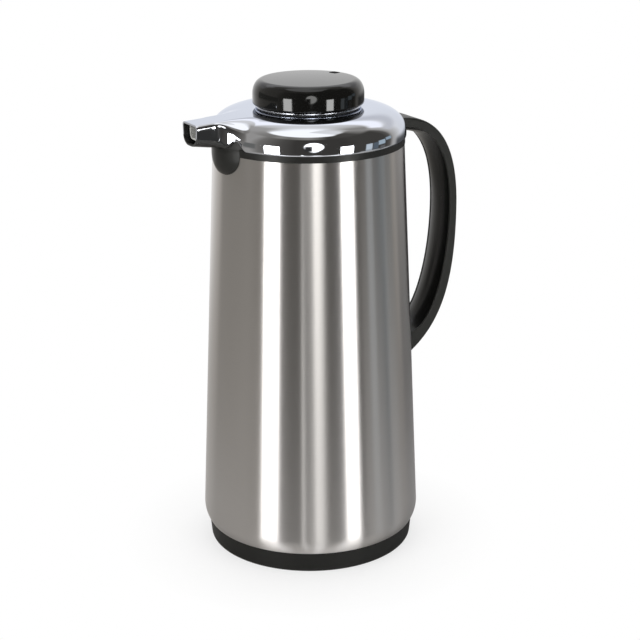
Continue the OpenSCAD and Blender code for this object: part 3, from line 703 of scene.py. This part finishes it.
class JUG_OT_handle(bpy.types.Operator):
    """Handle band with its inner pad, and the strip that backs it on the jacket"""
    bl_idname = "jug.handle"
    bl_label = "Handle"

    def execute(self, context):
        h = context.scene.jug_handle
        colours = context.scene.jug_colours
        black = moulded("handle_black", colours.handle, 0.42, grain=0.45, spread=0.05, shine=0.25)
        soft = moulded("pad_black", colours.pad, 0.25, spread=0.05, shine=0.35)
        band = self.swept("handle_loop_band", h, self.band_section(h))
        pad = self.swept("handle_pad", h, self.pad_section(h), 0.05)
        add_piece(band, "jug", black, "handle_black", "handle_band")
        add_piece(pad, "jug", soft, "pad_black", "handle_grip_pad")
        add_piece(self.strip(h), "jug", black, "handle_black", "handle_back_strip")
        return {"FINISHED"}

    def strip_x(self, h, z):
        """Distance of the strip's flat outer face from the axis at a height."""
        growth = 0.0095
        return jacket_r(z) + h.strip_t + (Z_COLLAR - z) * growth

    def edge(self, x, top, foot_x, foot_z, pulls):
        """One edge of the band seen from the side: a cubic curve from the arm to the middle of the grip, and
        one on to the foot. pulls are the distances of their inner control points, in millimetres."""
        x0, mid = bpy.context.scene.jug_body.top_r, HANDLE_TOP - 65 * MM
        arm, rise, drop, reach, lift = np.array(pulls) * MM
        t = np.linspace(0, 1, 60)
        above = bezier([(x0, top), (x0 + arm, top), (x, mid + rise), (x, mid)], t)
        below = bezier([(x, mid), (x, mid - drop), (foot_x + reach, foot_z + lift), (foot_x, foot_z)], t)
        return np.vstack([above[:-1], below])

    def band_section(self, h):
        """Closed section of the band, each corner as (across, 0 for the outer or 1 for the inner edge, depth
        beyond it, rounding): a rounded channel that is open towards the pad."""
        w, d = HANDLE_W / 2, h.pad_t
        lip = w - h.lip
        return [(-w, 0, 0, h.edge), (w, 0, 0, h.edge), (w, 1, 0, 0.5 * MM), (lip, 1, 0, 0.3 * MM),
                (lip, 1, -d, 0), (-lip, 1, -d, 0), (-lip, 1, 0, 0.3 * MM), (-w, 1, 0, 0.5 * MM)]

    def pad_section(self, h):
        """Closed section of the pad: it lies in the band's channel and its inner face is crowned."""
        side_gap, sunk = mm(0.05, 0.25)
        w = HANDLE_W / 2 - h.lip - side_gap
        y = np.linspace(w, -w, 31)
        rise = h.crown * (1 - (y / w) ** 2) - sunk
        face = [(v, 1, r, 0) for v, r in zip(y, rise)]
        return [(-w, 1, -h.pad_t, 0), (w, 1, -h.pad_t, 0), *face]

    def swept(self, name, h, section, share=0.0):
        """Section carried round the loop from a share of the way on: at each step its depth runs from the outer
        towards the inner edge. The end of the arm is drawn back to clear the dome and the collar."""
        foot = HANDLE_FOOT + 14.2 * MM
        outer = self.edge(HANDLE_X, HANDLE_TOP, self.strip_x(h, HANDLE_FOOT), HANDLE_FOOT,
                          (34.8, 36.6, 50.3, 25.8, 17.7))
        inner = self.edge(HANDLE_X - h.band_t, HANDLE_TOP - 6.4 * MM, self.strip_x(h, foot), foot,
                          (29.6, 34.3, 44.2, 16.1, 0))
        keep = slice(int(share * len(outer)), None)
        outer, inner = outer[keep], inner[keep]
        thick = np.linalg.norm(inner - outer, axis=1)
        typical = float(np.median(thick))
        flat = rounded([(y, side * typical + d, r) for y, side, d, r in section], steps=4)
        across, depth = flat.T
        deep = np.where(depth > typical / 2, thick[:, None] + (depth - typical), depth)
        way = (inner - outer) / thick[:, None]
        xz = outer[:, None] + way[:, None] * deep[..., None]
        y = np.broadcast_to(across, deep.shape)
        grid = np.stack([xz[..., 0], y, xz[..., 1]], -1)
        shell = np.sqrt(self.clear(grid[..., 2]) ** 2 - y ** 2)
        fade = 1 - ease(xz[..., 0] - outer[0, 0], 0, 14 * MM)
        grid[:40, :, 0] += ((shell - outer[0, 0]) * fade)[:40]
        return tube(name, grid)

    def clear(self, z):
        """Radius that clears the dome and the collar at a height, for the end of the arm."""
        s = bpy.context.scene.jug_shoulder
        low = z_rim() + 1.3 * MM
        rise = np.clip((z - low) / (Z_DECK - low), 0, 0.999)
        power, gap = 2.4, 0.25 * MM
        return s.deck_r + (s.dome_r - s.deck_r) * (1 - rise ** power) ** (1 / power) + gap

    def strip(self, h):
        """Strip between jacket and handle: at each height its back lies on the jacket's arc, its sides are
        flat and its front is a flat face with small rounded corners."""
        gap, collar_step = mm(0.2, 0.3)
        z = np.linspace(HANDLE_FOOT, HANDLE_TOP - 6.5 * MM, 60)
        w, r = HANDLE_W / 2, 0.8 * MM
        a = quarter(5)
        y_front = np.concatenate([-w + r - r * np.cos(a), w - r + r * np.sin(a)])
        inset = np.concatenate([r - r * np.sin(a), r - r * np.cos(a)])
        front = self.strip_x(h, z)[:, None] - inset
        y_back = np.linspace(w, -w, 25)
        reach = np.where(z < Z_COLLAR, jacket_r(z), jacket_r(Z_COLLAR) + collar_step) + gap
        x = np.concatenate([front, np.sqrt(reach[:, None] ** 2 - y_back ** 2)], 1)
        y = np.broadcast_to(np.concatenate([y_front, y_back]), x.shape)
        return tube("handle_strip", np.dstack([x, y, np.broadcast_to(z[:, None], x.shape)]))


class JUG_OT_stopper(bpy.types.Operator):
    """Knob with its index mark, and the bright ring under it"""
    bl_idname = "jug.stopper"
    bl_label = "Knob and trim ring"

    def execute(self, context):
        k = context.scene.jug_knob
        colours = context.scene.jug_colours
        turns = context.scene.jug_body.turns
        outer, inner = self.profile(k, 0.0), self.profile(k, k.wall)
        foot = rounded([(inner[0, 0], Z_KNOB + 3 * MM, 0), (inner[0, 0], Z_KNOB, 0.3 * MM),
                        (KNOB_R, Z_KNOB, 1.6 * MM), (KNOB_R, Z_KNOB + 4 * MM, 0)], closed=False)
        mesh = revolved("knob_shell", np.vstack([inner[::-1], foot[1:-1], outer]), turns, closed=False)
        black = moulded("knob_black", colours.knob, 0.07, grain=0.04, spread=0.015)
        add_piece(mesh, "knob", black, "knob_black", "knob_cap")
        mark = moulded("mark_black", (0.004, 0.004, 0.004), 0.6, shine=0.08)
        add_piece(self.mark(k), "knob", mark, "mark_black", "knob_mark")
        low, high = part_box("stopper_trim_ring")
        step, lip, sink = mm(0.5, 3.1, 2.4)
        flange = KNOB_R - 3.6 * MM
        bead_low = high.z - k.bead
        ring = rounded([
            (flange, low.z, 0.1 * MM), (flange + step, low.z, 0.1 * MM), (flange + step, bead_low, 0.2 * MM),
            (high.x, bead_low, 0.5 * MM), (high.x, high.z, 0.6 * MM), (flange - lip, high.z, 0.1 * MM),
            (flange - lip, low.z + sink, 0.1 * MM), (flange, low.z + sink, 0)], steps=10, guard=0.05 * MM)
        mesh = revolved("trim_ring", ring, turns)
        bright = plated("trim_chrome", colours.chrome, 0.22, wave=0.02)
        add_piece(mesh, "stopper", bright, "shoulder_chrome", "stopper_trim_ring")
        # Painted shadow: the ring's faces below the bead take the housing's black, as the dark gap between the
        # bead and the deck.
        paint(mesh, bright, bpy.data.materials["housing_black"])
        below = face_vectors(mesh, "center")[:, 2] < bead_low - 0.05 * MM
        mesh.polygons.foreach_set("material_index", below.astype(np.int32))
        return {"FINISHED"}

    def profile(self, k, d):
        """The knob's side, rounded upper corner and slightly crowned top, drawn in by a distance d."""
        x, z = KNOB_R - k.round_w, Z_TOP - k.crown - k.round_h
        bend = corner(x, z, k.round_w - d, k.round_h - d, 2.2, 29)
        r = np.linspace(x, 0, 30)[1:]
        rise = k.crown * (1 - (r / x) ** 2)
        return np.vstack([bend, np.stack([r, Z_TOP - k.crown - d + rise], -1)])

    def mark(self, k):
        """A small square tile that lies on the knob's crowned top, with rounded edges."""
        proud, thick, edge = mm(0.28, 0.45, 0.1)
        half = k.mark / 2 - 0.05 * MM
        t = np.array([-1, -0.97, -0.9, 0, 0.9, 0.97, 1.0])
        u, v = np.meshgrid(t * half, t * half, indexing="ij")
        x = k.mark_r + u
        fall = edge * np.maximum(np.abs(u), np.abs(v)) ** 12 / half ** 12
        z = Z_TOP - k.crown * (np.hypot(x, v) / (KNOB_R - k.round_w)) ** 2 + proud - fall
        c, s = math.cos(k.mark_turn), math.sin(k.mark_turn)
        top = np.stack([x * c - v * s, x * s + v * c, z], -1)
        mesh = joined("index_mark", surface("top", top), surface("under", top - [0, 0, thick], flip=True))
        with edited(mesh) as bm:
            bmesh.ops.bridge_loops(bm, edges=[e for e in bm.edges if e.is_boundary])
            bmesh.ops.recalc_face_normals(bm, faces=bm.faces)
        return mesh


class JUG_OT_inside(bpy.types.Operator):
    """Finishes of the flask, the neck insert, the valve and the fasteners"""
    bl_idname = "jug.inside"
    bl_label = "Inner pieces"

    def execute(self, context):
        plastic = moulded("inner_plastic", (0.62, 0.62, 0.60), 0.4)
        # The housing's black also serves as the painted shadow on the trim ring below its bead.
        dark = moulded("housing_black", (0.03, 0.03, 0.03), 0.4)
        silicone = moulded("silicone", (0.72, 0.72, 0.70), 0.55, grain=0.15)
        rubber = moulded("cushion_rubber", (0.06, 0.06, 0.06), 0.7)
        foam = moulded("foam", (0.8, 0.77, 0.68), 0.9, grain=1.0, grain_size=0.8 * MM)
        glass = plated("silvered_glass", (0.82, 0.84, 0.86), 0.06)
        steel = plated("screw_steel", (0.5, 0.5, 0.49), 0.25)
        for finish, nodes in (
                (plastic, ("neck_insert", "valve_stem", "valve_disc")),
                (dark, ("stopper_housing", "knob_core", "base_thread_ring")),
                (silicone, ("flask_gasket", "stopper_gasket", "valve_seal")),
                (rubber, ("flask_cushion",)), (foam, ("stopper_insulation",)),
                (glass, ("glass_outer_wall", "glass_inner_wall")),
                (steel, ("handle_screws", "handle_anchor_plate", "knob_clip"))):
            for node in nodes:
                paint(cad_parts[node].data, finish)
        return {"FINISHED"}


# Stage


# Tones of the room at azimuths from the camera: its walls, the ceiling above them and the floor below them.
# White paper is 1.
WALL_TONES = [(-180, 1.0), (-150, 0.95), (-140, 0.8), (-128, 0.6), (-118, 0.42), (-100, 0.38), (-72, 0.38),
              (-60, 0.2), (-52, 0.16), (-33, 0.09), (-24, 0.07), (-16, 0.05), (45, 0.05), (60, 0.06),
              (100, 0.06), (108, 0.12), (114, 0.45), (123, 0.65), (135, 0.95), (180, 1.0)]
CEILING_TONES = [(-180, 0.9), (-165, 0.85), (-150, 0.66), (-140, 0.45), (-115, 0.42), (-84, 0.28), (-62, 0.22),
                 (-48, 0.3), (-30, 0.2), (0, 0.3), (14, 0.2), (30, 0.06), (80, 0.08), (113, 0.35), (130, 0.3),
                 (150, 0.62), (165, 0.8), (180, 0.9)]
GROUND_TONES = [(-180, 0.4), (-165, 0.4), (-150, 0.28), (-125, 0.28), (-60, 0.42), (-53, 0.6), (-50, 2.2),
                (-36, 2.2), (-33, 0.52), (-11, 0.52), (-9, 1.1), (-5, 1.1), (-3, 0.6), (5, 0.7), (7, 1.6),
                (16, 1.6), (19, 0.52), (35, 0.52), (38, 2.2), (53, 2.2), (58, 0.6), (100, 0.35), (118, 0.12),
                (165, 0.08), (176, 0.3), (180, 0.4)]

# Elevations over which the walls turn into the ceiling, and the floor into the walls
CEILING_EDGE, GROUND_EDGE = (46, 54), (-20, -13)

# What the room's darks have more or less of in red, green and blue
DARK_TINT = (0.105, 0.035, -0.075)

# Panels of the room, each laid over those before it: shape, azimuth, elevation, half sizes and softness in
# degrees, and light
ROOM_PANELS = [
    ("box", 180, 30, 60, 6, 5.0, (0.74, 0.74, 0.76)),
    ("box", 180, 44, 55, 6, 3.0, (1.3, 1.3, 1.35)),
    ("box", -92, 2, 29, 8, 2.0, (0.17, 0.17, 0.16)),
    ("box", 8, -24, 58, 10, 2.5, (0.04, 0.04, 0.038)),
    ("box", -7.5, -24, 1.5, 9, 0.5, (2.4, 2.4, 2.35)),
    ("disc", 6.2, 13, 10.9, 19, 1.5, (4.0, 4.0, 3.9)),
    ("box", 0, 5, 4.5, 10, 1.5, (0.04, 0.04, 0.04)),
    ("box", -42.6, -2, 8.9, 12, 0.6, (9.5, 9.5, 9.4)),
    ("box", 44.6, -4, 7.5, 10, 0.6, (9.5, 9.5, 9.4)),
    ("box", 57, -43, 5, 5, 1.0, (2.4, 2.4, 2.4)),
    ("box", 88.5, -26, 26.5, 14, 1.5, (0.5, 0.5, 0.49)),
    ("box", 95, -24, 4, 16, 1.0, (0.15, 0.15, 0.15)),
    ("box", 73.5, -4, 4.5, 7, 0.8, (0.66, 0.74, 0.80)),
    ("box", 83.5, -4, 4, 7, 0.8, (0.12, 0.15, 0.18)),
    ("box", 93, 0, 5.5, 6, 0.8, (0.46, 0.56, 0.63)),
    ("box", 105, 5, 5, 4, 0.8, (0.36, 0.45, 0.52)),
    ("box", 145, -22, 24, 18, 6.0, (0.1, 0.1, 0.1)),
]

# Lamps that light the jug: name, azimuth, elevation, size in metres and power in watts
LAMPS = [("left_lamp", -43, 22, 0.9, 9), ("right_lamp", 47, 18, 0.9, 7), ("top_lamp", 170, 62, 1.2, 10)]

WHITE = (1, 1, 1, 1)


class JUG_OT_stage(bpy.types.Operator):
    """Camera, lights, pale floor and the studio room that metal and gloss reflect"""
    bl_idname = "jug.stage"
    bl_label = "Stage"

    def execute(self, context):
        scene = context.scene
        scene.view_settings.view_transform = "Standard"
        self.camera(scene)
        self.world(scene)
        self.lamps(scene)
        self.floor(scene)
        self.room(scene)
        return {"FINISHED"}

    def camera(self, scene):
        """Camera at the photographed angle, with the slight roll of the photograph's frame."""
        data = bpy.data.cameras.new("camera")
        adjust(data, lens=93.634, sensor_width=36.0)
        cam = placed("camera", data)
        place, aim, roll = Vector((-0.51321, -0.91452, 0.50344)), Vector((0.0060, -0.00342, 0.15141)), 0.2088
        ahead = (aim - place).normalized()
        level = ahead.cross(Vector((0, 0, 1))).normalized()
        right = Matrix.Rotation(math.radians(roll), 3, ahead) @ level
        up = right.cross(ahead)
        cam.matrix_world = Matrix.Translation(place) @ Matrix((right, up, -ahead)).transposed().to_4x4()
        scene.camera = cam

    def world(self, scene):
        """White to the camera, to reflections and through glass; a plain soft light for everything else."""
        scene.world = bpy.data.worlds.new("studio")
        scene.world.use_nodes = True
        tree = scene.world.node_tree
        soft = wire(tree.nodes["Background"], {"Color": WHITE, "Strength": 0.55})
        white = add_node(tree, "Background", {"Color": WHITE})
        path = add_node(tree, "LightPath").outputs
        seen = calculated(tree, "MAXIMUM", path["Is Camera Ray"], path["Is Glossy Ray"])
        seen = calculated(tree, "MAXIMUM", seen, path["Is Transmission Ray"])
        wire(tree.nodes["World Output"], {"Surface": blended(tree, seen, soft, white).outputs[0]})

    def lamps(self, scene):
        """Two large soft lamps in front and one above. The room stands for them in reflections."""
        away, aim = 1.6, Vector((0, 0, 0.16))
        for name, azimuth, elevation, size, power in LAMPS:
            data = bpy.data.lights.new(name, "AREA")
            adjust(data, size=size, energy=power)
            lamp = placed(name, data)
            way = Vector(self.direction(scene, azimuth, elevation))
            lamp.location = aim + way * away
            lamp.rotation_euler = way.to_track_quat("Z", "Y").to_euler()
            adjust(lamp, visible_glossy=False, visible_camera=False)

    def direction(self, scene, azimuth, elevation):
        """Unit vectors at an azimuth from the camera, positive to its right, and an elevation, in degrees."""
        here = scene.camera.location
        a = math.atan2(here.y, here.x) + np.radians(azimuth)
        e = np.radians(elevation)
        return np.stack([np.cos(a) * np.cos(e), np.sin(a) * np.cos(e), np.sin(e)], -1)

    def floor(self, scene):
        """Pale round floor, just under the jug. It fades into the white at a short distance, is only a table's
        size in reflections and can't be seen from below."""
        turns, radius, low = 96, 3.0, -0.1 * MM
        a = np.linspace(0, 2 * np.pi, turns, endpoint=False)[:, None]
        plan = circle(a, np.linspace(0, radius, 30))
        mesh = surface("floor", np.dstack([plan, np.full(plan.shape[:2], low)]), (True, False), flip=True)
        obj = placed("floor", mesh)
        mat, tree, bsdf = material("paper")
        wire(bsdf, {"Base Color": (0.9, 0.9, 0.9, 1), "Roughness": 1.0, "Specular IOR Level": 0.0})
        far = add_node(tree, "VectorMath", {0: place(tree)}, operation="LENGTH").outputs["Value"]
        path = add_node(tree, "LightPath").outputs
        fade = remap(tree, far, low=0.7, high=1, start=0.07, end=0.13)
        white = calculated(tree, "MULTIPLY", fade, path["Is Camera Ray"])
        paper = blended(tree, white, bsdf, add_node(tree, "Emission"))
        edge = remap(tree, far, low=0.72, high=1, start=0.15, end=0.4)
        gone = calculated(tree, "MULTIPLY", edge, path["Is Glossy Ray"])
        below = add_node(tree, "NewGeometry").outputs["Backfacing"]
        clear = calculated(tree, "MAXIMUM", gone, below)
        whole = blended(tree, clear, paper, add_node(tree, "BsdfTransparent"))
        wire(tree.nodes["Material Output"], {"Surface": whole.outputs[0]})
        paint(mesh, mat)

    def room(self, scene):
        """Sphere round the stage that only reflections see: pale paper behind the jug, a dark studio in front
        and above, and the panels of light. Its colour is a function of azimuth and elevation."""
        radius, centre = 2.6, [0, 0, 0.2]
        a, e = np.meshgrid(np.linspace(-180, 180, 721), np.linspace(-90, 90, 301), indexing="ij")
        mesh = surface("room", self.direction(scene, a, e) * radius + centre)
        light = np.dstack([self.room_light(a, e), np.ones(a.shape)])
        layer = mesh.color_attributes.new("light", "FLOAT_COLOR", "POINT")
        layer.data.foreach_set("color", light.reshape(-1).astype(np.float32))
        obj = placed("room", mesh)
        adjust(obj, visible_camera=False, visible_diffuse=False, visible_transmission=False,
               visible_shadow=False)
        mat, tree, bsdf = material("room_light")
        tree.nodes.remove(bsdf)
        tone = add_node(tree, "Attribute", attribute_name="light").outputs["Color"]
        glow = add_node(tree, "Emission", {"Color": tone})
        wire(tree.nodes["Material Output"], {"Surface": glow.outputs[0]})
        paint(mesh, mat)

    def room_light(self, a, e):
        """Light of the room: floor, walls and ceiling with soft borders, a bright panel overhead, a warm tint
        in the darks, and the smaller panels laid over them."""
        walls, ceiling, ground = (np.interp(a, *np.array(tones).T)
                                  for tones in (WALL_TONES, CEILING_TONES, GROUND_TONES))
        level = walls + (ceiling - walls) * ease(e, *CEILING_EDGE)
        overhead = 1.4 - 0.45 * ease(a, 45, 75) * (1 - ease(a, 140, 165))
        start = 62 + 4 * ease(a, 45, 70) * (1 - ease(a, 100, 120))
        border = 4 + 12 * ease(np.abs(a), 90, 130)
        level = level + (overhead - level) * ease(e, start, start + border)
        level = ground + (level - ground) * ease(e, *GROUND_EDGE)
        warm = (1 - np.clip(level, 0, 1))[..., None] * np.array(DARK_TINT)
        light = level[..., None] * (1 + warm)
        for shape, azimuth, elevation, half_a, half_e, soft, tone in ROOM_PANELS:
            away = (a - azimuth + 180) % 360 - 180
            if shape == "disc":
                reach = np.hypot(away / half_a, (e - elevation) / half_e)
                inside = 1 - ease(reach, 1 - soft / half_a, 1 + soft / half_a)
            else:
                inside = (1 - ease(np.abs(away), half_a - soft, half_a + soft)) * (
                    1 - ease(np.abs(e - elevation), half_e - soft, half_e + soft))
            light = light * (1 - inside[..., None]) + np.array(tone) * inside[..., None]
        return light


class JUG_PT_panel(bpy.types.Panel):
    """Builds the jug's finished pieces and its stage"""
    bl_idname = "JUG_PT_panel"
    bl_label = "Vacuum jug"
    bl_space_type = "VIEW_3D"
    bl_region_type = "UI"
    bl_category = "Jug"

    def draw(self, context):
        layout = self.layout
        for group in GROUPS:
            box = layout.box()
            for prop in GROUPS[group].__annotations__:
                box.prop(getattr(context.scene, group), prop)
        for operator in OPERATORS:
            layout.operator(operator.bl_idname)


GROUPS = {
    "jug_body": JugBodySizes,
    "jug_shoulder": JugShoulderSizes,
    "jug_handle": JugHandleSizes,
    "jug_knob": JugKnobSizes,
    "jug_colours": JugColours,
}
OPERATORS = (JUG_OT_inside, JUG_OT_jacket, JUG_OT_base, JUG_OT_collar, JUG_OT_shoulder, JUG_OT_handle,
             JUG_OT_stopper, JUG_OT_stage)


def register():
    for cls in (*GROUPS.values(), *OPERATORS, JUG_PT_panel):
        bpy.utils.register_class(cls)
    for name, cls in GROUPS.items():
        setattr(bpy.types.Scene, name, PointerProperty(type=cls))


def unregister():
    for name in GROUPS:
        delattr(bpy.types.Scene, name)
    for cls in reversed((*GROUPS.values(), *OPERATORS, JUG_PT_panel)):
        bpy.utils.unregister_class(cls)


def main():
    register()
    for operator in OPERATORS:
        group, name = operator.bl_idname.split(".")
        getattr(getattr(bpy.ops, group), name)()


if __name__ == "__main__":
    main()
